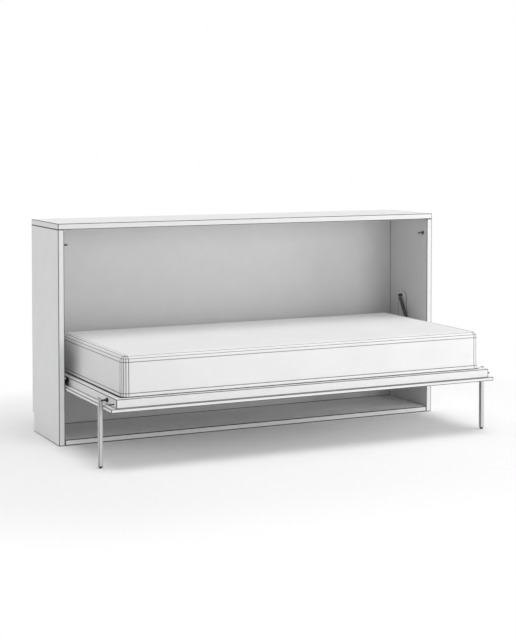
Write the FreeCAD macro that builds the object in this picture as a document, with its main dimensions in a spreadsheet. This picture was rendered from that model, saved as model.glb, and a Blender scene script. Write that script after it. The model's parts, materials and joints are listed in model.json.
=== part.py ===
import FreeCAD, Part
import math
import os
from collections import namedtuple
from types import SimpleNamespace

import Sketcher

# Horizontal cabinet bed, shown open.  The cabinet stands against a wall at +Y and the bed folds
# down towards -Y about two pins low in the cabinet's sides.  Closed, the bed's underside is the
# cabinet's front.  The frame's origin is on the floor, in the middle of the open bed's outline.
# All sizes are in millimetres.

DIMENSIONS = (
    # Cabinet
    ("width", 2198, "across the outside of the cabinet's sides"),
    ("height", 1122, "floor to the top of the cabinet"),
    ("depth", 446, "front of the cabinet to the wall"),
    ("side_board", 31, "thickness of a side"),
    ("top_board", 30, "thickness of the top"),
    ("bottom_board", 30, "thickness of the bottom"),
    ("back_board", 16, "thickness of the back"),
    ("back_space", 30, "free space from the back to the wall"),
    ("back_lift", 10, "floor to the lower edge of the back"),
    ("back_groove", 10, "how far the back goes into each side"),
    ("skirting_height", 100, "height of the notch for the room's skirting board"),
    ("skirting_depth", 20, "depth of that notch"),
    ("edge_bevel", 0.8, "bevel along a board's edges"),
    ("board_play", 0.2, "clearance of a board in its groove"),
    ("hole_play", 0.1, "clearance round a tenon, pin or bush in its hole"),
    ("rest_gap", 0.3, "clearance where one piece only rests near another"),
    ("tenon_width", 30, "width of a loose tenon, front to back"),
    ("tenon_board", 8, "thickness of a loose tenon"),
    ("tenon_short", 12, "shorter end of a tenon"),
    ("tenon_long", 22, "longer end of a tenon"),
    ("tenon_inset", 60, "front edge to the middle of the first tenon"),
    ("bracket_width", 60, "wall bracket, across"),
    ("bracket_height", 40, "wall bracket, down the wall"),
    ("bracket_reach", 28, "wall bracket, along the underside of the top"),
    ("bracket_steel", 3, "thickness of a wall bracket"),
    ("bracket_inset", 368, "inner face of a side to the middle of a wall bracket"),
    ("bracket_hole", 4, "radius of the wall screw's hole"),
    # Where the bed turns
    ("door_under", 278, "floor to the underside of the open bed"),
    ("pivot_back", 54, "front of the cabinet to the pivot, and pivot to the bed's underside"),
    ("grip_gap", 42, "finger gap over the closed door"),
    ("foot_gap", 11, "gap under the closed door"),
    ("door_board", 18, "thickness of the door"),
    ("door_side_gap", 6, "gap from the door's end to the cabinet's side"),
    # Bed frame
    ("rail_board", 35, "thickness of a rail"),
    ("rail_height", 43, "height of a rail"),
    ("rail_end_inset", 27, "door's end to the end rail"),
    ("rail_front_inset", 8, "door's front edge to the front rail"),
    ("rail_rear_inset", 5, "door's rear edge to the rear rail"),
    ("ledger_width", 20, "width of the ledger that carries the slats"),
    ("bearer_width", 40, "width of the middle bearer"),
    ("slat_drop", 16, "rail's top down to the ledger's top"),
    ("slat_width", 53, "width of a slat"),
    ("slat_board", 8, "thickness of a slat"),
    ("slat_crown", 6.7, "rise of a slat at its middle"),
    ("slat_lift", 2, "floor of a slat holder"),
    ("slat_end_gap", 6, "slat's end to the rail"),
    ("slat_play", 0.3, "clearance of a slat in its holder"),
    ("holder_wall", 1.8, "wall of a slat holder over the slat"),
    ("holder_side", 4.2, "wall of a slat holder beside the slat"),
    ("holder_length", 30, "length of a slat holder"),
    # Mattress
    ("mattress_end_gap", 35, "end rail's outer face to the mattress"),
    ("mattress_rear_gap", 18, "rear rail's outer face to the mattress"),
    ("mattress_board", 195, "mattress, thickness at its middle"),
    ("mattress_inset", 31, "door's front edge to the mattress"),
    ("mattress_top_round", 34, "rounding of the mattress's upper edges"),
    ("mattress_low_round", 17, "rounding of the mattress's lower edges"),
    ("mattress_corner", 37, "rounding of the mattress's corners in plan"),
    ("mattress_crown", 4, "rise of the mattress's top"),
    ("mattress_draw", 3, "how far the mattress's sides are drawn in"),
    ("stop_height", 68, "height of a mattress stop"),
    ("stop_width", 40, "width of a mattress stop"),
    ("stop_steel", 2, "thickness of a mattress stop"),
    ("stop_inset", 400, "mattress's end to the middle of the first mattress stop"),
    # Fittings at the pivot
    ("plate_steel", 3, "thickness of a fitting plate"),
    ("plate_before", 30, "fitting plate in front of the pivot"),
    ("plate_foot", 32, "fitting plate above and below the pivot"),
    ("plate_strip_front", 52, "fitting plate in front of the upper stud"),
    ("plate_strip_back", 36, "fitting plate behind the upper stud"),
    ("plate_over", 24, "fitting plate above the upper stud"),
    ("plate_round", 40, "rounding of the fitting plate's top"),
    ("plate_corner", 3, "rounding of the fitting plate's foot"),
    ("plate_front_round", 15, "rounding of the fitting plate's front over the pivot"),
    ("plate_inner_round", 26, "rounding where the fitting plate's foot meets its strip"),
    ("bed_plate_steel", 4, "thickness of a bed plate"),
    ("bed_plate_front", 17, "bed plate in front of the pivot"),
    ("bed_plate_rear", 60, "bed plate behind the pivot"),
    ("bed_plate_low", 29, "bed plate below the pivot"),
    ("bed_plate_over", 9, "bed plate above the pivot"),
    ("bed_plate_round", 9, "rounding of a bed plate's corners"),
    ("pin_radius", 6, "radius of a pivot pin"),
    ("pin_flange", 12, "radius of a pivot pin's flange"),
    ("pin_play", 0.06, "clearance of a pin in its bush"),
    ("bush_radius", 8, "radius of a pivot bush"),
    ("bush_collar", 9.5, "radius of a pivot bush's collar"),
    ("bush_length", 7, "length of a pivot bush's collar"),
    # Gas struts
    ("strut_gap", 18, "middle of a strut to the cabinet's side"),
    ("stud_back", 268.6, "front of the cabinet to the strut's upper stud"),
    ("stud_rise", 304.5, "pivot up to the strut's upper stud"),
    ("lever", 28.5, "pivot back to the strut's lower stud"),
    ("stud_radius", 3, "radius of an upper stud"),
    ("stud_head", 4.5, "radius of a stud's head and shoulder"),
    ("stud_head_height", 1.8, "height of a stud's head"),
    ("stud_play", 0.3, "clearance of a strut's eye round its stud"),
    ("eye_radius", 7, "radius of a strut's eye"),
    ("eye_width", 6, "width of a strut's eye"),
    ("eye_play", 0.5, "clearance beside a strut's eye"),
    ("rod_radius", 4, "radius of a strut's rod"),
    ("rod_show", 20, "upper stud to the top of a strut's cylinder"),
    ("rod_length", 200, "upper stud to the end of a strut's rod"),
    ("cylinder_radius", 9, "radius of a strut's cylinder"),
    ("cylinder_play", 0.4, "clearance of the rod in its cylinder"),
    ("neck_radius", 4.5, "radius of a strut's lower end"),
    ("neck_length", 38, "length of a strut's lower end"),
    # Legs
    ("leg_tube", 20, "width of a leg's square tube"),
    ("leg_wall", 2, "wall of that tube"),
    ("leg_round", 3, "rounding of that tube's corners"),
    ("leg_inset", 124, "door's front edge to a leg"),
    ("leg_gap", 0.5, "door's end to a leg"),
    ("leg_over", 14, "leg above its bolt"),
    ("leg_under", 8, "cut-away of a leg below its bolt"),
    ("leg_tab", 9.5, "depth of that cut-away"),
    ("leg_pull", 17.5, "how far a leg is pulled out"),
    ("leg_clear", 1.5, "clearance of the door's notch beside a leg"),
    ("leg_plug", 30, "length of the leg's solid end below its bolt"),
    ("bolt_rise", 24, "door's inner face up to a leg's bolt"),
    ("bolt_radius", 5, "radius of a leg's bolt"),
    ("bolt_head", 8, "radius of the bolt's head"),
    ("bolt_head_height", 3, "height of the bolt's head"),
    ("bolt_play", 0.1, "clearance of the bolt in its bores"),
    ("bolt_grip", 8, "how far the bolt goes into the leg"),
    ("leg_bush_radius", 7, "radius of a leg's bush"),
    ("leg_bush_flange", 10, "radius of that bush's flange"),
    ("glide_radius", 8.5, "radius of a leg's glide"),
    ("glide_height", 8, "height of a leg's glide"),
    ("glide_bevel", 1, "bevel round the underside of a leg's glide"),
    ("glide_plug", 15, "length of the glide's plug"),
    # Closing stops
    ("peg_radius", 3.5, "radius of a stop peg on the bed"),
    ("peg_inset", 38, "door's front edge to a stop peg"),
    ("peg_rise", 16.4, "door's inner face up to a stop peg"),
    ("peg_hole", 12, "how far a stop peg goes into its rail"),
    ("catch_radius", 5, "radius of a catch pin on the cabinet"),
    ("catch_plate", 11, "radius of a catch pin's plate"),
    ("catch_root", 4, "radius of a catch pin's root in the wood"),
    ("catch_root_length", 14, "length of that root"),
    ("catch_gap", 2, "catch pin's end to the bed's end rail"),
)

SLAT_COUNT = 14
TENON_ROWS = 3
STOP_COUNT = 3
SIDES = (("left", -1), ("right", 1))

doc = FreeCAD.newDocument("CabinetBed")
sheet = doc.addObject("Spreadsheet::Sheet", "Sizes")
for row, (alias, millimetres, meaning) in enumerate(DIMENSIONS, start=1):
    sheet.set(f"A{row}", meaning)
    sheet.set(f"B{row}", str(millimetres))
    sheet.setAlias(f"B{row}", alias)
doc.recompute()


class Size:
    """A length: its value now, and the formula on the sheet's cells that gives it."""

    def __init__(self, value, formula):
        self.value = value
        self.formula = formula

    def __add__(self, other):
        other = as_size(other)
        return Size(self.value + other.value, f"({self.formula} + {other.formula})")

    def __sub__(self, other):
        other = as_size(other)
        return Size(self.value - other.value, f"({self.formula} - {other.formula})")

    def __mul__(self, other):
        other = as_size(other)
        return Size(self.value * other.value, f"({self.formula} * {other.formula})")

    def __truediv__(self, other):
        other = as_size(other)
        return Size(self.value / other.value, f"({self.formula} / {other.formula})")

    def __neg__(self):
        return self * -1

    def __radd__(self, other):
        return as_size(other) + self

    def __rsub__(self, other):
        return as_size(other) - self

    def __rmul__(self, other):
        return as_size(other) * self


def as_size(amount):
    """A bare number becomes a size with itself as its formula."""
    return amount if isinstance(amount, Size) else Size(float(amount), f"({amount})")


def root(amount):
    """Square root of a size."""
    return Size(math.sqrt(amount.value), f"sqrt({amount.formula})")


size = SimpleNamespace(**{alias: Size(float(value), f"Sizes.{alias}") for alias, value, _ in DIMENSIONS})

# ---- Places, worked out from the driving dimensions ----

# Cabinet pieces are measured from the cabinet's front plane and the floor.
side_inner = size.width / 2 - size.side_board
top_under = size.height - size.top_board
back_front = size.depth - size.back_space - size.back_board
pivot_up = size.door_under + size.pivot_back
plate_face = side_inner - size.plate_steel
strut_x = side_inner - size.strut_gap
stud_up = pivot_up + size.stud_rise

# Bed pieces are measured from the pivot.
bed_front = pivot_up + size.grip_gap - top_under
bed_rear = pivot_up - size.bottom_board - size.foot_gap
door_half = side_inner - size.door_side_gap
door_inner = size.door_board - size.pivot_back
rail_top = door_inner + size.rail_height
rail_outer = door_half - size.rail_end_inset
rail_inner = rail_outer - size.rail_board
rail_front = bed_front + size.rail_front_inset
rail_rear = bed_rear - size.rail_rear_inset
front_rail_inner = rail_front + size.rail_board
rear_rail_inner = rail_rear - size.rail_board
ledger_top = rail_top - size.slat_drop
slat_front = front_rail_inner + size.slat_end_gap
slat_rear = rear_rail_inner - size.slat_end_gap
slat_low = ledger_top + size.slat_lift
slat_high = slat_low + size.slat_board
mattress_low = slat_high + size.slat_crown + size.rest_gap
mattress_front = bed_front + size.mattress_inset
mattress_rear = rail_rear - size.mattress_rear_gap
mattress_end = rail_outer - size.mattress_end_gap
bed_plate_face = rail_outer + size.bed_plate_steel
bolt_y = bed_front + size.leg_inset
bolt_z = door_inner + size.bolt_rise
leg_inner = door_half + size.leg_gap
peg_y = bed_front + size.peg_inset
peg_z = door_inner + size.peg_rise

# The open bed's outline is centred on the origin, from its front edge to the wall.
front_y = (-bed_front - size.pivot_back - size.depth) / 2
pivot_y = front_y + size.pivot_back

CABINET = (front_y, 0)
BED = (pivot_y, pivot_up)
LEG = (pivot_y + bolt_y, pivot_up + bolt_z)
STUD = (front_y + size.stud_back, stud_up)
leg_floor = -(pivot_up + bolt_z)

# Closed, each stop peg lies in front of its catch pin.
catch_y = size.pivot_back + peg_z + size.peg_radius + size.catch_radius + size.rest_gap
catch_z = pivot_up - peg_y

# Open, a strut runs from its upper stud down and forward to the bed's lever.
strut_fall = size.stud_rise
strut_forward = size.stud_back - size.pivot_back - size.lever
strut_length = root(strut_fall * strut_fall + strut_forward * strut_forward)

# ---- Drawing ----

Corner = namedtuple("Corner", "u v radius bow", defaults=(0, 0))
Circle = namedtuple("Circle", "u v radius")


def bind(thing, path, amount):
    """Tie one property of an object to a formula on the sheet."""
    thing.setExpression(path, as_size(amount).formula)


def piece(name, x, datum):
    """A body with its own datum point, which is one place in the bed's frame."""
    body = doc.addObject("PartDesign::Body", name)
    body.Label = name
    body.AllowCompound = True
    for axis, amount in zip("xyz", (x, *datum)):
        bind(body, f"Placement.Base.{axis}", amount)
    return body


def sketch(body, role, x=0, y=0, z=0):
    """An empty drawing on one of the body's origin planes, shifted in that plane's own axes."""
    drawing = body.newObject("Sketcher::SketchObject", f"{body.Name}_outline")
    plane = next(part for part in body.Origin.OriginFeatures if part.Role == role)
    drawing.AttachmentSupport = (plane, [""])
    drawing.MapMode = "FlatFace"
    for axis, amount in zip("xyz", (x, y, z)):
        bind(drawing, f".AttachmentOffset.Base.{axis}", amount)
    return drawing


def hold(drawing, kind, where, amount):
    """Add a dimension to a drawing, tied to the sheet."""
    amount = as_size(amount)
    number = drawing.addConstraint(Sketcher.Constraint(kind, *where, amount.value))
    drawing.setExpression(f"Constraints[{number}]", amount.formula)


def heading(start, end):
    """Direction from one corner to another along the drawing's axes, as -1, 0 or 1 each way."""
    steps = (as_size(end.u - start.u).value, as_size(end.v - start.v).value)
    return tuple((step > 1e-6) - (step < -1e-6) for step in steps)


def draw_circle(drawing, shape):
    u, v, radius = (as_size(amount) for amount in shape)
    circle = Part.Circle(FreeCAD.Vector(u.value, v.value, 0), FreeCAD.Vector(0, 0, 1), radius.value)
    edge = drawing.addGeometry(circle)
    hold(drawing, "Radius", (edge,), radius)
    hold(drawing, "DistanceX", (-1, 1, edge, 3), u)
    hold(drawing, "DistanceY", (-1, 1, edge, 3), v)


def trace(corners):
    """Turn corners into points, each with the signed radius of the side that follows it.

    A positive radius turns to the left, a negative one to the right, and none is a straight side.
    """
    points = []
    corners = [Corner(as_size(c.u), as_size(c.v), as_size(c.radius), as_size(c.bow)) for c in corners]
    for number, corner in enumerate(corners):
        before = heading(corner, corners[number - 1])
        follower = corners[(number + 1) % len(corners)]
        after = heading(corner, follower)
        side = None
        if corner.bow.value:
            chord = (follower.u - corner.u) * after[0] + (follower.v - corner.v) * after[1]
            chord -= corner.radius + follower.radius
            side = chord * chord / (8 * corner.bow) + corner.bow / 2
        if corner.radius.value:
            left = 1 if after[0] * before[1] - after[1] * before[0] > 0 else -1
            points.append((corner.u + corner.radius * before[0], corner.v + corner.radius * before[1],
                           corner.radius * left))
        points.append((corner.u + corner.radius * after[0], corner.v + corner.radius * after[1], side))
    return points


def draw_side(drawing, start, end, radius):
    """One straight or round side; gives the edge and which of its ends comes first."""
    start = FreeCAD.Vector(start[0].value, start[1].value, 0)
    end = FreeCAD.Vector(end[0].value, end[1].value, 0)
    if radius is None:
        return drawing.addGeometry(Part.LineSegment(start, end)), 1, 2
    across = end - start
    left = FreeCAD.Vector(-across.y, across.x, 0).normalize()
    rise = math.sqrt(radius.value ** 2 - across.Length ** 2 / 4) * math.copysign(1, radius.value)
    centre = start + across / 2 + left * rise
    circle = Part.Circle(centre, FreeCAD.Vector(0, 0, 1), abs(radius.value))
    first, last = (math.atan2(point.y - centre.y, point.x - centre.x) for point in (start, end))
    if radius.value > 0:
        return drawing.addGeometry(Part.ArcOfCircle(circle, first, last)), 1, 2
    return drawing.addGeometry(Part.ArcOfCircle(circle, last, first)), 2, 1


def draw_outline(drawing, corners):
    """A closed outline, anticlockwise.  A radius rounds a square corner; a bow arches the side that
    follows a corner outwards, or inwards if it is negative."""
    points = trace(corners)
    sides = []
    for number, point in enumerate(points):
        sides.append(draw_side(drawing, point, points[(number + 1) % len(points)], point[2]))
    for number, (edge, first, last) in enumerate(sides):
        following, entry, _ = sides[(number + 1) % len(sides)]
        drawing.addConstraint(Sketcher.Constraint("Coincident", edge, last, following, entry))
        u, v, radius = points[number]
        hold(drawing, "DistanceX", (-1, 1, edge, first), u)
        hold(drawing, "DistanceY", (-1, 1, edge, first), v)
        if radius is not None:
            hold(drawing, "Radius", (edge,), radius * math.copysign(1, radius.value))


def draw(drawing, shapes):
    for shape in shapes:
        if isinstance(shape, Circle):
            draw_circle(drawing, shape)
        else:
            draw_outline(drawing, shape)


def box(u_low, u_high, v_low, v_high, radius=0):
    """Corners of an upright rectangle."""
    return [Corner(u_low, v_low, radius), Corner(u_high, v_low, radius),
            Corner(u_high, v_high, radius), Corner(u_low, v_high, radius)]


# ---- Shaping ----


def extrude(body, role, low, high, *shapes):
    """Fill outlines drawn on an origin plane, from one distance to another along its normal."""
    drawing = sketch(body, role, z=low)
    draw(drawing, shapes)
    feature = body.newObject("PartDesign::Pad", f"{body.Name}_pad")
    feature.Profile = drawing
    bind(feature, "Length", high - low)
    return feature


def cut(body, role, low, high, *shapes):
    """Cut outlines drawn on an origin plane, between two distances along its normal."""
    drawing = sketch(body, role, z=high)
    draw(drawing, shapes)
    feature = body.newObject("PartDesign::Pocket", f"{body.Name}_cut")
    feature.Profile = drawing
    bind(feature, "Length", high - low)
    return feature


def turn(body, drawing, axis, corners):
    draw(drawing, [corners])
    feature = body.newObject("PartDesign::Revolution", f"{body.Name}_turned")
    feature.Profile = drawing
    feature.ReferenceAxis = (drawing, [axis])
    feature.Angle = 360
    return feature


def turn_across(body, corners, y=0, z=0):
    """A round piece that lies along X; its corners are (x, radius)."""
    return turn(body, sketch(body, "XY_Plane", y=y, z=z), "H_Axis", corners)


def turn_upright(body, corners, x=0, y=0):
    """A round piece that stands along Z; its corners are (radius, z)."""
    return turn(body, sketch(body, "XZ_Plane", x=x, z=-y), "V_Axis", corners)


def bevel(body, feature, amount):
    """Bevel every edge of what the body has so far."""
    beveled = body.newObject("PartDesign::Chamfer", f"{body.Name}_bevel")
    beveled.Base = (feature, [""])
    beveled.UseAllEdges = True
    bind(beveled, "Size", amount)
    return beveled


def repeat(body, features, pitch, count):
    """Repeat features along +X."""
    pattern = body.newObject("PartDesign::LinearPattern", f"{body.Name}_row")
    pattern.Originals = features
    axis = next(part for part in body.Origin.OriginFeatures if part.Role == "X_Axis")
    pattern.Direction = (axis, [""])
    bind(pattern, "Length", pitch * (count - 1))
    pattern.Occurrences = count
    body.Tip = pattern
    return pattern


def outboard(side, near, far):
    """Low and high X of a stretch given by its distances from the middle, on one side."""
    return (near * side, far * side) if side > 0 else (far * side, near * side)


def board(name, x, datum, role, low, high, *shapes):
    """A board with beveled edges."""
    body = piece(name, x, datum)
    bevel(body, extrude(body, role, low, high, *shapes), size.edge_bevel)
    return body


def spread(low, high, count):
    """Evenly spaced places from one to another."""
    return [low + (high - low) * (number / (count - 1)) for number in range(count)]


# ---- Cabinet ----

tenon_places = spread(size.tenon_inset, back_front - size.tenon_inset, TENON_ROWS)
side_middle = side_inner + size.side_board / 2
bottom_middle = size.bottom_board / 2


def around(middle, thickness, play=0):
    """Low and high of a tenon across its middle, or of its mortise where there is play."""
    half = thickness / 2 + play
    return middle - half, middle + half


def side_panel(name, side):
    body = board(name, side_inner * side, CABINET, "YZ_Plane", *outboard(side, 0, size.side_board), [
        Corner(0, 0),
        Corner(size.depth - size.skirting_depth, 0),
        Corner(size.depth - size.skirting_depth, size.skirting_height),
        Corner(size.depth, size.skirting_height),
        Corner(size.depth, top_under),
        Corner(0, top_under),
    ])
    groove = outboard(side, 0, size.back_groove + size.board_play)
    cut(body, "YZ_Plane", *groove,
        box(back_front - size.board_play, back_front + size.back_board + size.board_play,
            size.back_lift - size.board_play, top_under))
    cut(body, "XY_Plane", top_under - size.tenon_long - size.hole_play, top_under,
        *(box(*around(size.side_board / 2 * side, size.tenon_board, size.hole_play),
              *around(y, size.tenon_width, size.hole_play)) for y in tenon_places))
    cut(body, "XY_Plane", *around(bottom_middle, size.tenon_board, size.hole_play),
        *(box(*outboard(side, 0, size.tenon_short + size.hole_play),
              *around(y, size.tenon_width, size.hole_play)) for y in tenon_places))
    cut(body, "YZ_Plane", *outboard(side, 0, size.catch_root_length + size.hole_play),
        Circle(catch_y, catch_z, size.catch_root + size.hole_play))


def top_board():
    body = board("top_board", 0, (front_y, top_under), "XY_Plane", 0, size.top_board,
                 box(-size.width / 2, size.width / 2, 0, size.depth))
    cut(body, "XY_Plane", 0, size.tenon_short + size.hole_play,
        *(box(*around(side_middle * side, size.tenon_board, size.hole_play),
              *around(y, size.tenon_width, size.hole_play)) for _, side in SIDES for y in tenon_places))


def bottom_board():
    body = board("bottom_board", 0, CABINET, "XY_Plane", 0, size.bottom_board,
                 box(-side_inner, side_inner, 0, back_front))
    for _, side in SIDES:
        mortise = outboard(side, side_inner - size.tenon_long - size.hole_play, side_inner)
        cut(body, "XY_Plane", *around(bottom_middle, size.tenon_board, size.hole_play),
            *(box(*mortise, *around(y, size.tenon_width, size.hole_play)) for y in tenon_places))


def back_panel():
    reach = side_inner + size.back_groove
    board("back_panel", 0, CABINET, "XY_Plane", size.back_lift, top_under,
          box(-reach, reach, back_front, back_front + size.back_board))


def cabinet_tenons():
    """Loose tenons: upright from the sides into the top, and level from the bottom into the sides."""
    body = piece("cabinet_tenons", 0, CABINET)
    for _, side in SIDES:
        extrude(body, "XY_Plane", top_under - size.tenon_long, top_under + size.tenon_short,
                *(box(*around(side_middle * side, size.tenon_board), *around(y, size.tenon_width))
                  for y in tenon_places))
        level = outboard(side, side_inner - size.tenon_long, side_inner + size.tenon_short)
        extrude(body, "XY_Plane", *around(bottom_middle, size.tenon_board),
                *(box(*level, *around(y, size.tenon_width)) for y in tenon_places))


def wall_brackets():
    """Steel angles under the top that hold the cabinet to the wall."""
    body = piece("wall_brackets", 0, (front_y + size.depth, top_under))
    inside = size.bracket_steel
    place = side_inner - size.bracket_inset
    hole_z = -(size.bracket_height + inside) / 2
    for _, side in SIDES:
        low, high = outboard(side, place - size.bracket_width / 2, place + size.bracket_width / 2)
        extrude(body, "YZ_Plane", low, high, [
            Corner(0, 0),
            Corner(-size.bracket_reach, 0),
            Corner(-size.bracket_reach, -inside),
            Corner(-inside, -inside, inside),
            Corner(-inside, -size.bracket_height),
            Corner(0, -size.bracket_height),
        ])
        cut(body, "XZ_Plane", 0, inside, Circle(place * side, hole_z, size.bracket_hole))


def fitting_plate(name, side):
    """L-shaped plate on the cabinet's side that carries the pivot and the strut's upper stud."""
    body = piece(name, plate_face * side, CABINET)
    plate_front = size.pivot_back - size.plate_before
    strip_front = size.stud_back - size.plate_strip_front
    strip_back = size.stud_back + size.plate_strip_back
    low, high = outboard(side, 0, size.plate_steel)
    extrude(body, "YZ_Plane", low, high, [
        Corner(plate_front, pivot_up - size.plate_foot, size.plate_corner),
        Corner(strip_back, pivot_up - size.plate_foot, size.plate_corner),
        Corner(strip_back, stud_up + size.plate_over, size.plate_round),
        Corner(strip_front, stud_up + size.plate_over, size.plate_round),
        Corner(strip_front, pivot_up + size.plate_foot, size.plate_inner_round),
        Corner(plate_front, pivot_up + size.plate_foot, size.plate_front_round),
    ])


def pivot_pins():
    body = piece("pivot_pins", 0, BED)
    end = rail_outer + size.rest_gap
    flange = plate_face - size.plate_steel
    for _, side in SIDES:
        turn_across(body, [
            Corner(end * side, 0),
            Corner(plate_face * side, 0),
            Corner(plate_face * side, size.pin_flange),
            Corner(flange * side, size.pin_flange),
            Corner(flange * side, size.pin_radius),
            Corner(end * side, size.pin_radius),
        ])


def upper_studs():
    """Headed studs on the fitting plates, which carry the struts' upper eyes."""
    body = piece("upper_studs", 0, STUD)
    shoulder = strut_x + size.eye_width / 2 + size.eye_play
    head = strut_x - size.eye_width / 2 - size.eye_play
    for _, side in SIDES:
        turn_across(body, [
            Corner((head - size.stud_head_height) * side, 0),
            Corner(plate_face * side, 0),
            Corner(plate_face * side, size.stud_head),
            Corner(shoulder * side, size.stud_head),
            Corner(shoulder * side, size.stud_radius),
            Corner(head * side, size.stud_radius),
            Corner(head * side, size.stud_head),
            Corner((head - size.stud_head_height) * side, size.stud_head),
        ])


def catch_pins():
    """Pins on round plates that stop the closed bed's pegs, with their roots in the sides."""
    body = piece("catch_pins", 0, CABINET)
    end = rail_outer + size.catch_gap
    for _, side in SIDES:
        turn_across(body, [
            Corner(end * side, 0),
            Corner((side_inner + size.catch_root_length) * side, 0),
            Corner((side_inner + size.catch_root_length) * side, size.catch_root),
            Corner(side_inner * side, size.catch_root),
            Corner(side_inner * side, size.catch_plate),
            Corner(plate_face * side, size.catch_plate),
            Corner(plate_face * side, size.catch_radius),
            Corner(end * side, size.catch_radius),
        ], y=catch_y, z=catch_z)


# ---- Bed frame ----

slat_pitch = rail_inner * 2 / SLAT_COUNT
slat_places = [slat_pitch * (number - (SLAT_COUNT - 1) / 2) for number in range(SLAT_COUNT)]
ledger_rows = (
    ("ledger_front", front_rail_inner, front_rail_inner + size.ledger_width),
    ("ledger_rear", rear_rail_inner - size.ledger_width, rear_rail_inner),
)


def door_panel():
    """The closed bed's front, with a notch at each end where the pulled-in leg passes."""
    notch = leg_inner - size.leg_pull - size.leg_clear
    notch_front = bolt_y - size.leg_tube / 2 - size.leg_clear
    notch_rear = bolt_y + size.leg_tube / 2 + size.leg_clear
    board("door_panel", 0, BED, "XY_Plane", -size.pivot_back, door_inner, [
        Corner(-door_half, bed_front),
        Corner(door_half, bed_front),
        Corner(door_half, notch_front),
        Corner(notch, notch_front),
        Corner(notch, notch_rear),
        Corner(door_half, notch_rear),
        Corner(door_half, bed_rear),
        Corner(-door_half, bed_rear),
        Corner(-door_half, notch_rear),
        Corner(-notch, notch_rear),
        Corner(-notch, notch_front),
        Corner(-door_half, notch_front),
    ])


def long_rail(name, outer, inner):
    """Front or rear rail, mitred at both ends."""
    board(name, 0, BED, "XY_Plane", door_inner, rail_top, [
        Corner(-rail_outer, outer),
        Corner(rail_outer, outer),
        Corner(rail_inner, inner),
        Corner(-rail_inner, inner),
    ])


def end_rail(name, side):
    """Left or right rail, mitred, with the holes of its leg's bush and its stop peg."""
    body = board(name, 0, BED, "XY_Plane", door_inner, rail_top, [
        Corner(rail_outer * side, rail_front),
        Corner(rail_outer * side, rail_rear),
        Corner(rail_inner * side, rear_rail_inner),
        Corner(rail_inner * side, front_rail_inner),
    ])
    cut(body, "YZ_Plane", *outboard(side, rail_inner, rail_outer),
        Circle(bolt_y, bolt_z, size.leg_bush_radius + size.hole_play))
    cut(body, "YZ_Plane", *outboard(side, rail_outer - size.peg_hole - size.hole_play, rail_outer),
        Circle(peg_y, peg_z, size.peg_radius + size.hole_play))


def ledger(name, low, high):
    """Strip along a rail, glued to it and to the door, that carries the slat holders."""
    board(name, 0, BED, "XY_Plane", door_inner, ledger_top, box(-rail_inner, rail_inner, low, high))


def middle_bearer():
    board("middle_bearer", 0, BED, "XY_Plane", door_inner, ledger_top,
          box(-size.bearer_width / 2, size.bearer_width / 2, front_rail_inner + size.ledger_width,
              rear_rail_inner - size.ledger_width))


def slat(name, x):
    """Laminated slat, crowned along its length."""
    body = piece(name, x, BED)
    extrude(body, "YZ_Plane", -size.slat_width / 2, size.slat_width / 2, [
        Corner(slat_front, slat_low, 0, -size.slat_crown),
        Corner(slat_rear, slat_low),
        Corner(slat_rear, slat_high, 0, size.slat_crown),
        Corner(slat_front, slat_high),
    ])


def slat_holders(name, low, high):
    """Sleeves on one ledger, one for each slat's end."""
    body = piece(name, slat_places[0], BED)
    half = size.slat_width / 2 + size.slat_play
    rise = 4 * size.slat_crown * size.holder_length / (slat_rear - slat_front)
    floor = slat_low - size.slat_play
    ceiling = slat_high + rise + size.slat_play
    sleeve = extrude(body, "XZ_Plane", -high, -low,
                     box(-half - size.holder_side, half + size.holder_side, ledger_top,
                         ceiling + size.holder_wall),
                     box(-half, half, floor, ceiling))
    repeat(body, [sleeve], slat_pitch, SLAT_COUNT)


def mattress():
    """Where three outlines meet: crowned and drawn in both ways, and rounded in plan."""
    def slice_of(half, low, high):
        shoulder = high - size.mattress_crown
        return [
            Corner(-half, low, size.mattress_low_round),
            Corner(half, low, size.mattress_low_round, -size.mattress_draw),
            Corner(half, shoulder, size.mattress_top_round, size.mattress_crown),
            Corner(-half, shoulder, size.mattress_top_round, -size.mattress_draw),
        ]
    middle = (mattress_front + mattress_rear) / 2
    half_width = (mattress_rear - mattress_front) / 2
    datum = (pivot_y + middle, pivot_up + mattress_low)
    blanks = [piece(name, 0, datum) for name in ("mattress_across", "mattress_along", "mattress_plan")]
    extrude(blanks[0], "YZ_Plane", -mattress_end, mattress_end, slice_of(half_width, 0, size.mattress_board))
    extrude(blanks[1], "XZ_Plane", -half_width, half_width, slice_of(mattress_end, 0, size.mattress_board))
    extrude(blanks[2], "XY_Plane", 0, size.mattress_board,
            box(-mattress_end, mattress_end, -half_width, half_width, size.mattress_corner))
    form = doc.addObject("Part::MultiCommon", "mattress")
    form.Label = "mattress"
    form.Shapes = blanks
    blank_names.extend(blank.Name for blank in blanks)


def mattress_stops():
    """Steel angles on the rear rail, which keep the mattress in place when the bed is upright."""
    first = size.stop_inset - mattress_end
    body = piece("mattress_stops", first, BED)
    face = mattress_rear + size.rest_gap
    angle = extrude(body, "YZ_Plane", -size.stop_width / 2, size.stop_width / 2, [
        Corner(face, rail_top),
        Corner(rail_rear - size.edge_bevel, rail_top),
        Corner(rail_rear - size.edge_bevel, rail_top + size.stop_steel),
        Corner(face + size.stop_steel, rail_top + size.stop_steel, size.stop_steel),
        Corner(face + size.stop_steel, rail_top + size.stop_height),
        Corner(face, rail_top + size.stop_height),
    ])
    repeat(body, [angle], first * -2 / (STOP_COUNT - 1), STOP_COUNT)


# ---- Fittings on the bed ----


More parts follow.
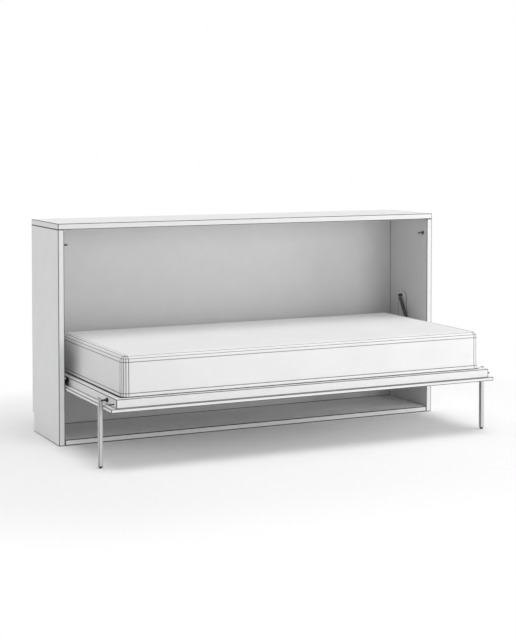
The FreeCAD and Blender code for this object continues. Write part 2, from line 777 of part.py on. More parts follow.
def bed_plate(name, side):
    """Steel plate on the end rail that turns on the pivot pin and carries the lower stud."""
    body = piece(name, rail_outer * side, BED)
    low, high = outboard(side, 0, size.bed_plate_steel)
    extrude(body, "YZ_Plane", low, high,
            box(-size.bed_plate_front, size.bed_plate_rear, -size.bed_plate_low, size.bed_plate_over,
                size.bed_plate_round),
            Circle(0, 0, size.bush_radius + size.hole_play))


def pivot_bushes():
    """Flanged bushes in the bed plates, which run on the pivot pins."""
    body = piece("pivot_bushes", 0, BED)
    bore = size.pin_radius + size.pin_play
    for _, side in SIDES:
        end = bed_plate_face + size.bush_length
        turn_across(body, [
            Corner(rail_outer * side, bore),
            Corner(end * side, bore),
            Corner(end * side, size.bush_collar),
            Corner(bed_plate_face * side, size.bush_collar),
            Corner(bed_plate_face * side, size.bush_radius),
            Corner(rail_outer * side, size.bush_radius),
        ])


def lower_studs():
    """Studs on the bed plates that the struts' lower eyes push against."""
    body = piece("lower_studs", 0, BED)
    end = strut_x - size.eye_width / 2 - size.eye_play
    for _, side in SIDES:
        low, high = outboard(side, bed_plate_face, end)
        turn_across(body, box(low, high, 0, size.rod_radius), y=size.lever)


def leg_bushes():
    """Flanged bushes in the end rails, in which the legs' bolts slide."""
    body = piece("leg_bushes", 0, BED)
    bore = size.bolt_radius + size.bolt_play
    flange_end = leg_inner - size.leg_pull - size.leg_gap
    for _, side in SIDES:
        turn_across(body, [
            Corner(rail_inner * side, bore),
            Corner(flange_end * side, bore),
            Corner(flange_end * side, size.leg_bush_flange),
            Corner(rail_outer * side, size.leg_bush_flange),
            Corner(rail_outer * side, size.leg_bush_radius),
            Corner(rail_inner * side, size.leg_bush_radius),
        ], y=bolt_y, z=bolt_z)


def stop_pegs():
    body = piece("stop_pegs", 0, BED)
    for _, side in SIDES:
        low, high = outboard(side, rail_outer - size.peg_hole, door_half)
        turn_across(body, box(low, high, 0, size.peg_radius), y=peg_y, z=peg_z)


# ---- Legs ----


def leg_bolt(name, side):
    """Bolt that slides in the bed's bush and turns in the leg; its head keeps it from coming out."""
    body = piece(name, 0, LEG)
    head = rail_inner - size.bolt_head_height - size.rest_gap
    under_head = rail_inner - size.rest_gap
    tip = leg_inner + size.leg_tab + size.bolt_grip
    turn_across(body, [
        Corner(head * side, 0),
        Corner(tip * side, 0),
        Corner(tip * side, size.bolt_radius),
        Corner(under_head * side, size.bolt_radius),
        Corner(under_head * side, size.bolt_head),
        Corner(head * side, size.bolt_head),
    ])


def leg(name, side):
    """Square tube, solid at its top, where its inner half is cut away round the bolt."""
    body = piece(name, (leg_inner + size.leg_tube / 2) * side, LEG)
    half = size.leg_tube / 2
    hollow = half - size.leg_wall
    foot = leg_floor + size.glide_height
    extrude(body, "XY_Plane", foot, size.leg_over, box(-half, half, -half, half, size.leg_round))
    cut(body, "XY_Plane", foot, -size.leg_plug, box(-hollow, hollow, -hollow, hollow))
    cut(body, "YZ_Plane", *outboard(side, -half, size.leg_tab - half),
        box(-half, half, -size.leg_under, size.leg_over))
    low, high = outboard(side, size.leg_tab - half, size.leg_tab + size.bolt_grip + size.rest_gap - half)
    cut(body, "YZ_Plane", low, high, Circle(0, 0, size.bolt_radius + size.bolt_play))


def leg_glide(name, side):
    """Plastic foot with its plug inside the tube."""
    body = piece(name, (leg_inner + size.leg_tube / 2) * side, LEG)
    plug = size.leg_tube / 2 - size.leg_wall - size.hole_play
    foot = leg_floor + size.glide_height
    extrude(body, "XY_Plane", foot, foot + size.glide_plug, box(-plug, plug, -plug, plug, size.leg_wall))
    turn_upright(body, [
        Corner(0, leg_floor),
        Corner(size.glide_radius - size.glide_bevel, leg_floor),
        Corner(size.glide_radius, leg_floor + size.glide_bevel),
        Corner(size.glide_radius, foot),
        Corner(0, foot),
    ])


# ---- Gas struts ----


def strut_piece(name, side):
    """A body that hangs from the upper stud along the strut's line."""
    body = piece(name, strut_x * side, STUD)
    lean = math.degrees(math.atan2(strut_forward.value, strut_fall.value))
    body.Placement.Rotation = FreeCAD.Rotation(FreeCAD.Vector(-1, 0, 0), lean)
    body.setExpression("Placement.Rotation.Angle", f"atan({strut_forward.formula} / {strut_fall.formula})")
    return body


def add_eye(body, z):
    """Eye of a strut: a thick disc with a bore along X."""
    half = size.eye_width / 2
    extrude(body, "YZ_Plane", -half, half, Circle(0, z, size.eye_radius))
    cut(body, "YZ_Plane", -half, half, Circle(0, z, size.stud_radius + size.stud_play))


def strut_rod(name, side):
    body = strut_piece(name, side)
    start = -(size.stud_radius + size.eye_radius) / 2
    turn_upright(body, box(0, size.rod_radius, -size.rod_length, start))
    add_eye(body, 0)


def strut_cylinder(name, side):
    body = strut_piece(name, side)
    bore = size.rod_radius + size.cylinder_play
    shoulder = size.neck_length - strut_length
    turn_upright(body, [
        Corner(0, (size.stud_radius + size.eye_radius) / 2 - strut_length),
        Corner(size.neck_radius, (size.stud_radius + size.eye_radius) / 2 - strut_length),
        Corner(size.neck_radius, shoulder),
        Corner(size.cylinder_radius, shoulder + size.neck_radius),
        Corner(size.cylinder_radius, -size.rod_show),
        Corner(bore, -size.rod_show),
        Corner(bore, -size.rod_length - size.rod_radius),
        Corner(0, -size.rod_length - size.rod_radius),
    ])
    add_eye(body, -strut_length)


# ---- The whole bed ----

blank_names = []

top_board()
bottom_board()
back_panel()
cabinet_tenons()
wall_brackets()
pivot_pins()
upper_studs()
catch_pins()
door_panel()
long_rail("rail_front", rail_front, front_rail_inner)
long_rail("rail_rear", rail_rear, rear_rail_inner)
for ledger_name, ledger_low, ledger_high in ledger_rows:
    ledger(ledger_name, ledger_low, ledger_high)
middle_bearer()
for slat_number, slat_x in enumerate(slat_places, start=1):
    slat(f"slat_{slat_number:02d}", slat_x)
slat_holders("slat_holders_front", front_rail_inner, front_rail_inner + size.holder_length)
slat_holders("slat_holders_rear", rear_rail_inner - size.holder_length, rear_rail_inner)
mattress()
mattress_stops()
pivot_bushes()
lower_studs()
leg_bushes()
stop_pegs()
for hand, sign in SIDES:
    side_panel(f"side_panel_{hand}", sign)
    fitting_plate(f"fitting_plate_{hand}", sign)
    end_rail(f"rail_{hand}", sign)
    bed_plate(f"bed_plate_{hand}", sign)
    leg_bolt(f"leg_bolt_{hand}", sign)
    leg(f"leg_{hand}", sign)
    leg_glide(f"leg_glide_{hand}", sign)
    strut_rod(f"strut_rod_{hand}", sign)
    strut_cylinder(f"strut_cylinder_{hand}", sign)

doc.recompute()

failed = [thing.Name for thing in doc.Objects if {"Invalid", "Error"} & set(thing.State)]
if failed:
    raise RuntimeError(f"not built: {failed}")
sub_parts = [thing for thing in doc.Objects
             if thing.TypeId in ("PartDesign::Body", "Part::MultiCommon") and thing.Name not in blank_names]
for part in sub_parts:
    if part.Shape.isNull() or not part.Shape.isValid():
        raise RuntimeError(f"no valid shape: {part.Label}")

os.makedirs("parts", exist_ok=True)
for part in sub_parts:
    part.Shape.exportStep(f"parts/{part.Label}.step")
print(f"{len(sub_parts)} sub-parts written")
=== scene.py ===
"""Looks of a horizontal cabinet bed: faced boards, slats, steel fittings, folding legs and mattress."""

import json
import math

import bpy
import numpy as np
from bpy.props import FloatProperty, FloatVectorProperty, IntProperty, PointerProperty
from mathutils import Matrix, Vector


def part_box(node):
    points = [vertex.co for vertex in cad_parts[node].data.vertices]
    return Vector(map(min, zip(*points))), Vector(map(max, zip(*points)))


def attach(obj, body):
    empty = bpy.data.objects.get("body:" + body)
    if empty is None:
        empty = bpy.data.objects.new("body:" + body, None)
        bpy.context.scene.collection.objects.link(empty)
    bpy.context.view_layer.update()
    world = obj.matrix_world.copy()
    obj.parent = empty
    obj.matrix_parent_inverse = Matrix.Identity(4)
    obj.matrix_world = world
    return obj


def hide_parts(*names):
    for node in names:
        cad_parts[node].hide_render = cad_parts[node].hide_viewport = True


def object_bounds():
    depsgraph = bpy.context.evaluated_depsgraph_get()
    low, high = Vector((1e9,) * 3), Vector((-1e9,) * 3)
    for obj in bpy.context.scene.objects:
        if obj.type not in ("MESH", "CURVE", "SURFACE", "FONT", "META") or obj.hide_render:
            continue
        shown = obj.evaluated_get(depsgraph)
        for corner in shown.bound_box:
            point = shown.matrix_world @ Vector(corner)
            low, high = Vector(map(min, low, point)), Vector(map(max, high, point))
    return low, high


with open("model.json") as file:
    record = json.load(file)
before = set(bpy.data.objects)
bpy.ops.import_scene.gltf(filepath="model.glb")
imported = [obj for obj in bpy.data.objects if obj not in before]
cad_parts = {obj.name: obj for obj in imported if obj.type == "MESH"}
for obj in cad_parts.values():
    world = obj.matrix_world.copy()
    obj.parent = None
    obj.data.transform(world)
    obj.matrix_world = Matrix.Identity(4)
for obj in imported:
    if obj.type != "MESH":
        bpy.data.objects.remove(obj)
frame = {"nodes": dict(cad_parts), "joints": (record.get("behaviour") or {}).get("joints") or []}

bl_info = {
    "name": "Cabinet bed",
    "version": (1, 0, 0),
    "blender": (4, 5, 0),
    "location": "3D View > Sidebar > Cabinet bed",
    "description": "Finishes, mattress, small fasteners and stage of a horizontal cabinet bed",
    "category": "Object",
}

CAD_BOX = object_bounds()
SIDES = (("left", -1), ("right", 1))
MM = 0.001


def box_of(node):
    """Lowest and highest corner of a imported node, as arrays."""
    return tuple(np.array(corner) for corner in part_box(node))


# ---- Surfaces ----


def grid_faces(rows, columns, start=0):
    """Quads between neighbouring points of a grid whose points are numbered row by row."""
    number = np.arange(rows * columns).reshape(rows, columns) + start
    corners = (number[:-1, :-1], number[1:, :-1], number[1:, 1:], number[:-1, 1:])
    return np.stack(corners, -1).reshape(-1, 4)


def weld(points, quads, reach=1e-6):
    """Make points at one place into one.  Returns them, the quads, and each old point's new number."""
    keys = np.round(points / reach).astype(np.int64)
    _, first, place = np.unique(keys, axis=0, return_index=True, return_inverse=True)
    place = place.reshape(-1)
    return points[first], place[quads], first, place


def fill_mesh(mesh, points, quads):
    """Write points and quads into a mesh; a quad with two corners in one place becomes a triangle.

    A quad a b c d is the triangles a b c and a c d.  The sum of their triple products is six times
    the signed volume, and if it is negative the faces look inwards and are turned over.
    """
    differ = quads != np.roll(quads, -1, axis=1)
    differ = differ[differ.sum(1) > 2]
    quads = quads[(quads != np.roll(quads, -1, axis=1)).sum(1) > 2]
    first, second, third, fourth = (points[quads[:, corner]] for corner in range(4))
    volume = np.einsum("ij,ij->i", first, np.cross(second, third) + np.cross(third, fourth)).sum()
    if volume < 0:
        quads, differ = quads[:, ::-1], np.roll(differ[:, ::-1], -1, axis=1)
    totals = differ.sum(1)
    loops = quads[differ]
    mesh.vertices.add(len(points))
    mesh.vertices.foreach_set("co", points.astype(np.float32).ravel())
    mesh.loops.add(len(loops))
    mesh.loops.foreach_set("vertex_index", loops.astype(np.int32))
    mesh.polygons.add(len(quads))
    mesh.polygons.foreach_set("loop_start", (np.cumsum(totals) - totals).astype(np.int32))
    mesh.update(calc_edges=True)
    mesh.validate()


def joined(grids):
    """Points and quads of several grids put end to end, and the number of each grid's first point."""
    points = np.concatenate([grid.reshape(-1, 3) for grid in grids])
    starts = np.cumsum([0] + [grid.shape[0] * grid.shape[1] for grid in grids])
    quads = [grid_faces(*grid.shape[:2], start) for grid, start in zip(grids, starts)]
    return points, np.concatenate(quads), starts


def new_piece(name, grids, values=None):
    """One piece from several grids of points, which are joined where their rims meet.

    Each grid is an array of rows by columns by three numbers, in metres, in the bed's frame.
    values holds one number for each point, for each name of an attribute.
    """
    points, quads, _ = joined(grids)
    points, quads, first, _ = weld(points, quads)
    mesh = bpy.data.meshes.new(name)
    fill_mesh(mesh, points, quads)
    for label, numbers in (values or {}).items():
        attribute = mesh.attributes.new(label, "FLOAT", "POINT")
        attribute.data.foreach_set("value", numbers[first].astype(np.float32))
    mesh.polygons.foreach_set("use_smooth", np.ones(len(mesh.polygons), bool))
    piece = bpy.data.objects.new(name, mesh)
    bpy.context.scene.collection.objects.link(piece)
    return piece


def sideways(axis):
    """Two unit vectors square to an axis and to each other."""
    axis = np.array(axis, float) / np.linalg.norm(axis)
    helper = np.eye(3)[np.argmin(np.abs(axis))]
    first = np.cross(axis, helper)
    first /= np.linalg.norm(first)
    return axis, first, np.cross(axis, first)


def turned(profile, centre, axis, count=40):
    """A profile of (radius, height) points carried once round an axis.

    At angle a, a point is centre + height * axis + radius * (cos a * first + sin a * second).
    """
    axis, first, second = sideways(axis)
    radius, height = np.array(profile, float).T
    angle = np.linspace(0, math.tau, count + 1)
    angle[-1] = 0
    around = np.cos(angle)[:, None] * first + np.sin(angle)[:, None] * second
    return np.array(centre) + height[:, None, None] * axis + radius[:, None, None] * around[None]


def screw_head(centre, axis, radius, rise):
    """A pan head with a cross recess, closed underneath.

    At the share r of the radius the height is rise * (1 - r^4)^(1/2), plus a low rim, less the
    recess: two crossed slots, each a smooth step across it, times one along it that ends it.
    """
    axis, first, second = sideways(axis)
    rim, recess = 0.28, 0.75
    slot_half, slot_end = 0.17, 0.6
    share = np.array([0, 0.06, 0.12, 0.18, 0.26, 0.36, 0.46, 0.56, 0.7, 0.84, 0.94, 1, 1, 0])
    angle = np.linspace(0, math.tau, 33)
    angle[-1] = 0
    u = share[:, None] * np.cos(angle)
    v = share[:, None] * np.sin(angle)
    off_slot = np.minimum(np.abs(u), np.abs(v))
    slot = np.clip((slot_half - off_slot) / 0.07, 0, 1) * np.clip((slot_end - share[:, None]) / 0.12, 0, 1)
    height = rise * np.sqrt(np.clip(1 - share[:, None] ** 4, 0, 1)) + rise * rim
    height = height - rise * recess * slot * slot * (3 - 2 * slot)
    height[-2:] = 0
    return (np.array(centre) + height[..., None] * axis
            + radius * (u[..., None] * first + v[..., None] * second))


# ---- Finishes ----


class Value:
    """A number that varies over a surface.  Arithmetic on it adds Math nodes."""

    def __init__(self, finish, socket):
        self.finish = finish
        self.socket = socket

    def maths(self, operation, *others):
        inputs = dict(enumerate((self, *others)))
        return self.finish.node("ShaderNodeMath", {"operation": operation}, inputs)

    def swapped(self, operation, other):
        return self.finish.node("ShaderNodeMath", {"operation": operation}, {0: other, 1: self})

    def __add__(self, other):
        return self.maths("ADD", other)

    def __sub__(self, other):
        return self.maths("SUBTRACT", other)

    def __rsub__(self, other):
        return self.swapped("SUBTRACT", other)

    def __mul__(self, other):
        return self.maths("MULTIPLY", other)

    def __abs__(self):
        return self.maths("ABSOLUTE")

    __radd__ = __add__
    __rmul__ = __mul__

    def least(self, other):
        return self.maths("MINIMUM", other)

    def most(self, other):
        return self.maths("MAXIMUM", other)

    def ramp(self, low, high, low_value=0.0, high_value=1.0):
        """A smooth step from one value to another while this one goes from low to high."""
        inputs = {"Value": self, "From Min": low, "From Max": high,
                  "To Min": low_value, "To Max": high_value}
        return self.finish.node("ShaderNodeMapRange", {"interpolation_type": "SMOOTHSTEP"}, inputs)


class Finish:
    """The nodes of a material, or of the world, in the making."""

    def __init__(self, name, kind="materials"):
        self.block = getattr(bpy.data, kind).new(name)
        self.block.use_nodes = True
        self.tree = self.block.node_tree
        self.tree.nodes.clear()
        self.place = self.node("ShaderNodeTexCoord", output="Object")

    def feed(self, socket, value):
        if isinstance(value, Value):
            self.tree.links.new(value.socket, socket)
        else:
            socket.default_value = value

    def node(self, kind, settings=None, inputs=None, output=0):
        """Any node: its settings first, then the values or links of its sockets."""
        node = self.tree.nodes.new(kind)
        for name, setting in (settings or {}).items():
            setattr(node, name, setting)
        for name, value in (inputs or {}).items():
            self.feed(node.inputs[name], value)
        return Value(self, node.outputs[output])

    def axes(self):
        """The place on the surface as three numbers, in metres."""
        split = self.node("ShaderNodeSeparateXYZ", inputs={"Vector": self.place})
        return tuple(Value(self, socket) for socket in split.socket.node.outputs)

    def stretched(self, scale):
        return self.node("ShaderNodeMapping", inputs={"Vector": self.place, "Scale": scale})

    def noise(self, scale, detail=3.0, rough=0.55, place=None, bend=0.0):
        inputs = {"Vector": place or self.place, "Scale": scale, "Detail": detail, "Roughness": rough,
                  "Distortion": bend}
        return self.node("ShaderNodeTexNoise", inputs=inputs)

    def cells(self, scale, place=None, output="Distance"):
        inputs = {"Vector": place or self.place, "Scale": scale}
        return self.node("ShaderNodeTexVoronoi", {"feature": "F1"}, inputs, output)

    def bands(self, scale, direction):
        settings = {"wave_type": "BANDS", "bands_direction": direction, "wave_profile": "SIN"}
        inputs = {"Vector": self.place, "Scale": scale, "Distortion": 0.0, "Detail": 2.0}
        return self.node("ShaderNodeTexWave", settings, inputs)

    def colour(self, amount, low, high):
        """One colour, or a value's, turning into another as the amount goes from 0 to 1."""
        node = self.tree.nodes.new("ShaderNodeMix")
        node.data_type = "RGBA"
        self.feed(node.inputs[0], amount)
        for socket, value in ((node.inputs[6], low), (node.inputs[7], high)):
            self.feed(socket, (*value, 1) if isinstance(value, (tuple, list)) else value)
        return Value(self, node.outputs[2])

    def bump(self, height, depth, strength):
        inputs = {"Height": height, "Distance": depth, "Strength": strength}
        return self.node("ShaderNodeBump", inputs=inputs)

    def surface(self, **sockets):
        """Close the material with a principled shader; names use _ where a socket's has a space."""
        inputs = {name.replace("_", " "): value for name, value in sockets.items()}
        shader = self.node("ShaderNodeBsdfPrincipled", inputs=inputs)
        return self.out(shader)

    def out(self, shader):
        kind = "World" if isinstance(self.block, bpy.types.World) else "Material"
        self.feed(self.tree.nodes.new(f"ShaderNodeOutput{kind}").inputs["Surface"], shader)
        return self.block

    def seen(self):
        """1 where a surface is seen, straight or in a shiny or clear one, and 0 where it only gives light."""
        path = self.node("ShaderNodeLightPath").socket.node.outputs
        straight, mirrored, through = (Value(self, path[f"Is {name} Ray"])
                                       for name in ("Camera", "Glossy", "Transmission"))
        return straight.most(mirrored).most(through)


def shade(colour, share):
    """A colour made darker or lighter by a share."""
    return tuple(min(1.0, part * share) for part in tuple(colour)[:3])


def edge_distance(finish, low, high):
    """Distance over a box's surface to its nearest edge, in metres.

    Of a point's three distances to the box's nearest planes, the least is that of the face it is
    on, so the middle one, max(min(x, y), min(max(x, y), z)), is its distance to an edge.
    """
    gaps = [half - abs(axis - middle)
            for axis, middle, half in zip(finish.axes(), (low + high) / 2, (high - low) / 2)]
    x, y, z = gaps
    return x.least(y).most(x.most(y).least(z))


def faced_board(name, box, colour, looks, inner=None, joint=1.0):
    """Melamine facing: fine pearl bump, faint mottling, and a dark joint along the edges of a box.

    inner is a darker colour painted on the face that looks across the cabinet at the other side, as painted
    shade for the inside of the cabinet, and joint is the share of the usual width that the dark joint has
    here.
    """
    finish = Finish(name)
    low, high = box
    near = edge_distance(finish, low, high)
    width = looks.joint_width * joint
    line = near.ramp(width * 0.55, width, 1.0, 0.0)
    worn = near.ramp(0.0, 0.02, 1.0, 0.0) * finish.noise(38.0, 4.0, 0.6)
    mottle = finish.noise(9.0, 5.0, 0.6)
    pearl = finish.noise(2600.0, 2.0, 0.6)

    def facing(tone):
        base = finish.colour(mottle.ramp(0.3, 0.7), shade(tone, 0.982), shade(tone, 1.012))
        base = finish.colour(pearl.ramp(0.45, 0.75) * 0.25, base, shade(tone, 0.955))
        return finish.colour(worn * 0.10, base, shade(tone, 0.90))

    base = facing(colour)
    # Painted shade: the face towards the cabinet's inside takes the darker inner colour.
    if inner is not None:
        depth = min(abs(low[0]), abs(high[0]))
        shade_inside = abs(finish.axes()[0]).ramp(depth + 0.0004, depth + 0.0008, 1.0, 0.0)
        base = finish.colour(shade_inside, base, facing(inner))
    base = finish.colour(line * looks.joint_depth, base, tuple(looks.joint_colour))
    smear = finish.noise(5.0, 3.0, 0.5, bend=0.6)
    rough = smear * 0.12 + 0.36 + line * 0.15
    height = pearl * 0.6 + finish.noise(420.0, 2.0, 0.5) * 0.4 - line * 3.0
    normal = finish.bump(height, 0.00006, 0.7)
    return finish.surface(Base_Color=base, Roughness=rough, Normal=normal, Specular_IOR_Level=0.35)


def beech(name, colour, along="Y", layers=False):
    """Beech: fibres and growth bands along the piece, short dark flecks, and glue lines if laminated."""
    finish = Finish(name)
    scale = (1.0, 0.06, 1.0) if along == "Y" else (0.06, 1.0, 1.0)
    along_grain = finish.stretched(scale)
    growth = finish.noise(34.0, 6.0, 0.62, along_grain, 0.8)
    fibre = finish.noise(900.0, 4.0, 0.6, along_grain)
    fleck_place = finish.stretched((260.0, 34.0, 260.0) if along == "Y" else (34.0, 260.0, 260.0))
    fleck = finish.cells(1.0, place=fleck_place)
    flecks = fleck.ramp(0.10, 0.24, 1.0, 0.0)
    base = finish.colour(growth.ramp(0.32, 0.70), shade(colour, 0.86), shade(colour, 1.08))
    base = finish.colour(fibre.ramp(0.4, 0.7) * 0.35, base, shade(colour, 0.74))
    base = finish.colour(flecks * 0.45, base, shade(colour, 0.52))
    height = fibre - flecks * 0.5
    if layers:
        glue = finish.bands(420.0, "Z").ramp(0.82, 0.97)
        base = finish.colour(glue * 0.55, base, shade(colour, 0.45))
        height = height - glue
    rough = growth * 0.15 + 0.45
    return finish.surface(Base_Color=base, Roughness=rough, Normal=finish.bump(height, 0.00012, 0.6))


def painted_steel(name, colour, rough, rim=0.0, rear=None):
    """Stoved paint: fine orange peel, dust in the low places and, on flat plates, a dark rim on the edge
    faces.

    A plate lies square to X, so its rim is where the surface's own normal has little of X.
    rear is the place in Y of its rearmost edge, which is darkened too.
    """
    finish = Finish(name)
    peel = finish.noise(700.0, 2.0, 0.5)
    dust = finish.noise(60.0, 5.0, 0.65)
    base = finish.colour(dust.ramp(0.45, 0.75) * 0.5, tuple(colour), shade(colour, 1.25))
    chips = finish.noise(520.0, 3.0, 0.7).ramp(0.66, 0.72)
    if rim:
        # The edge faces, found by their direction, and the rear edge are darkened; chips keep to them.
        facing = finish.node("ShaderNodeNewGeometry", output="True Normal")
        level = finish.node("ShaderNodeSeparateXYZ", inputs={"Vector": facing})
        dark_rim = abs(level).ramp(0.3, 0.8, 1.0, 0.0)
        if rear is not None:
            dark_rim = dark_rim.most((rear - finish.axes()[1]).ramp(0.0015, 0.0045, 1.0, 0.0))
        base = finish.colour(dark_rim * rim, base, shade(colour, 0.10))
        chips = chips * dark_rim
    base = finish.colour(chips * 0.6, base, (0.45, 0.45, 0.46))
    height = peel * 0.7 + dust * 0.3 - chips
    return finish.surface(Base_Color=base, Roughness=dust * 0.14 + rough, Metallic=chips * 0.7,
                          Normal=finish.bump(height, 0.00008, 0.6), Specular_IOR_Level=0.5)


def drawn_metal(name, colour, rough, stretch=0.02, depth=0.00003, node=None):
    """Metal drawn upright: noise stretched that way in colour, gloss and bump.

    A square tube, given by its node, is dark along its corners.
    """
    finish = Finish(name)
    place = finish.stretched((1.0, 1.0, stretch))
    lines = finish.noise(3200.0, 3.0, 0.65, place)
    cloudy = finish.noise(26.0, 5.0, 0.6)
    base = finish.colour(lines.ramp(0.3, 0.7), shade(colour, 0.90), shade(colour, 1.06))
    base = finish.colour(cloudy.ramp(0.5, 0.8) * 0.25, base, shade(colour, 0.84))
    if node is not None:
        corner = edge_distance(finish, *box_of(node)).ramp(0.0012, 0.0034, 1.0, 0.0)
        base = finish.colour(corner * 0.8, base, shade(colour, 0.15))
    return finish.surface(Base_Color=base, Metallic=1.0, Roughness=lines * 0.12 + cloudy * 0.10 + rough,
                          Normal=finish.bump(lines, depth, 0.5))


def plated_steel(name, colour):
    """Zinc plate: small pale crystals of uneven gloss."""
    finish = Finish(name)
    crystals = finish.cells(650.0, output="Color")
    tint = finish.node("ShaderNodeSeparateColor", inputs={"Color": crystals})
    haze = finish.noise(120.0, 4.0, 0.6)
    base = finish.colour(tint * 0.6, shade(colour, 0.88), shade(colour, 1.10))
    return finish.surface(Base_Color=base, Metallic=1.0, Roughness=tint * 0.12 + haze * 0.15 + 0.22,
                          Normal=finish.bump(haze, 0.00003, 0.5))


def sintered_bronze(name, colour):
    """Pressed bronze: small dark pores filled with oil."""
    finish = Finish(name)
    pores = finish.noise(2400.0, 2.0, 0.5).ramp(0.60, 0.68)
    tone = finish.noise(140.0, 4.0, 0.6)
    base = finish.colour(tone, shade(colour, 0.8), shade(colour, 1.15))
    base = finish.colour(pores * 0.8, base, shade(colour, 0.25))
    return finish.surface(Base_Color=base, Metallic=1.0, Roughness=tone * 0.2 + 0.3,
                          Normal=finish.bump(pores * -1.0, 0.00006, 0.6))


def moulded_plastic(name, colour):
    """Moulded plastic with a fine spark-eroded grain and scuffs."""
    finish = Finish(name)
    grain = finish.cells(2200.0)
    scuff = finish.noise(90.0, 5.0, 0.65).ramp(0.55, 0.75)
    base = finish.colour(scuff * 0.5, tuple(colour), shade(colour, 2.2))
    return finish.surface(Base_Color=base, Roughness=scuff * 0.15 + grain * 0.1 + 0.42,
                          Normal=finish.bump(grain, 0.00005, 0.6), Specular_IOR_Level=0.45)


def knitted_cover(name, colour, thread):
    """Mattress cover: a fine knit of staggered loops, soft mottling, sheen, and darker sewn lines."""
    finish = Finish(name)
    rib_pitch, course_pitch, stitch_pitch = 2.6 * MM, 2.1 * MM, 4.5 * MM
    x, y, z = finish.axes()
    across = x + y * 0.35
    rib = (across * (math.tau / rib_pitch)).maths("SINE")
    course = ((z + y * 0.8 - x * 0.12) * (math.tau / course_pitch)).maths("SINE")
    knit = rib * course * 0.5 + 0.5
    fuzz = finish.noise(850.0, 3.0, 0.65)
    cloud = finish.noise(3.2, 5.0, 0.55)
    sewn = finish.node("ShaderNodeAttribute", {"attribute_name": "sewn"}, output="Fac")
    stitch = ((x + y + z) * (math.tau / stitch_pitch)).maths("SINE").ramp(-0.6, 0.2)
    base = finish.colour(cloud.ramp(0.35, 0.68), shade(colour, 0.975), shade(colour, 1.01))
    base = finish.colour(knit * 0.12, base, shade(colour, 0.90))
    base = finish.colour(fuzz.ramp(0.5, 0.8) * 0.15, base, shade(colour, 0.93))
    base = finish.colour(sewn.ramp(0.15, 0.7) * (stitch * 0.15 + 0.75), base, tuple(thread))
    height = knit * 0.7 + fuzz * 0.5 + stitch * sewn * 1.2
    return finish.surface(Base_Color=base, Roughness=fuzz * 0.1 + 0.78,
                          Normal=finish.bump(height, 0.00022, 0.5),
                          Sheen_Weight=0.25, Sheen_Roughness=0.5, Specular_IOR_Level=0.2)


def dress(nodes, material):
    """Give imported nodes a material."""
    for name in nodes:
        slots = frame["nodes"][name].data.materials
        slots.clear()
        slots.append(material)


def finish_piece(piece, body, material):
    """Material and body of a new piece."""
    piece.data.materials.clear()
    piece.data.materials.append(material)
    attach(piece, body)


# ---- Sizes and colours ----


def colour_property(name, description, default):
    return FloatVectorProperty(name=name, description=description, default=default, subtype="COLOR", size=3,
                               min=0, max=1)


class BedSizes(bpy.types.PropertyGroup):
    """Sizes of the pieces that are made here."""

    mattress_top_round: FloatProperty(
        name="Top rounding", description="Height of the rounding round the mattress's top",
        default=0.034, unit="LENGTH")
    mattress_low_round: FloatProperty(
        name="Lower rounding", description="Height of the rounding round the mattress's underside",
        default=0.005, unit="LENGTH")
    foot_seam: FloatProperty(
        name="Lowest seam", description="Height of the sewn line above the mattress's underside",
        default=0.017, unit="LENGTH")
    mattress_corner: FloatProperty(
        name="Corner rounding", description="Rounding of the mattress's corners seen from above",
        default=0.037, unit="LENGTH")
    mattress_slack: FloatProperty(
        name="Slack", description="How far the filled cover is drawn back in, so that it keeps to its space",
        default=0.0038, unit="LENGTH")
    mattress_swell: FloatProperty(
        name="Swell", description="The most that any point of the cover moves as it fills",
        default=0.0045, unit="LENGTH")
    seam_depth: FloatProperty(
        name="Seam depth", description="Depth of a sewn line in the cover",
        default=0.0010, unit="LENGTH")
    seam_width: FloatProperty(
        name="Seam width", description="Half of the width over which a sewn line shows",
        default=0.0017, unit="LENGTH")
    top_seams: IntProperty(
        name="Top seams", description="Sewn lines round the mattress's upper edge", default=4, min=2)
    corner_seams: IntProperty(
        name="Corner seams", description="Sewn lines down each of the mattress's corners", default=5, min=2)
    screw_radius: FloatProperty(
        name="Screw head radius", description="Radius of a fitting screw's head",
        default=0.004, unit="LENGTH")
    screw_rise: FloatProperty(
        name="Screw head height", description="Height of a fitting screw's head",
        default=0.0012, unit="LENGTH")


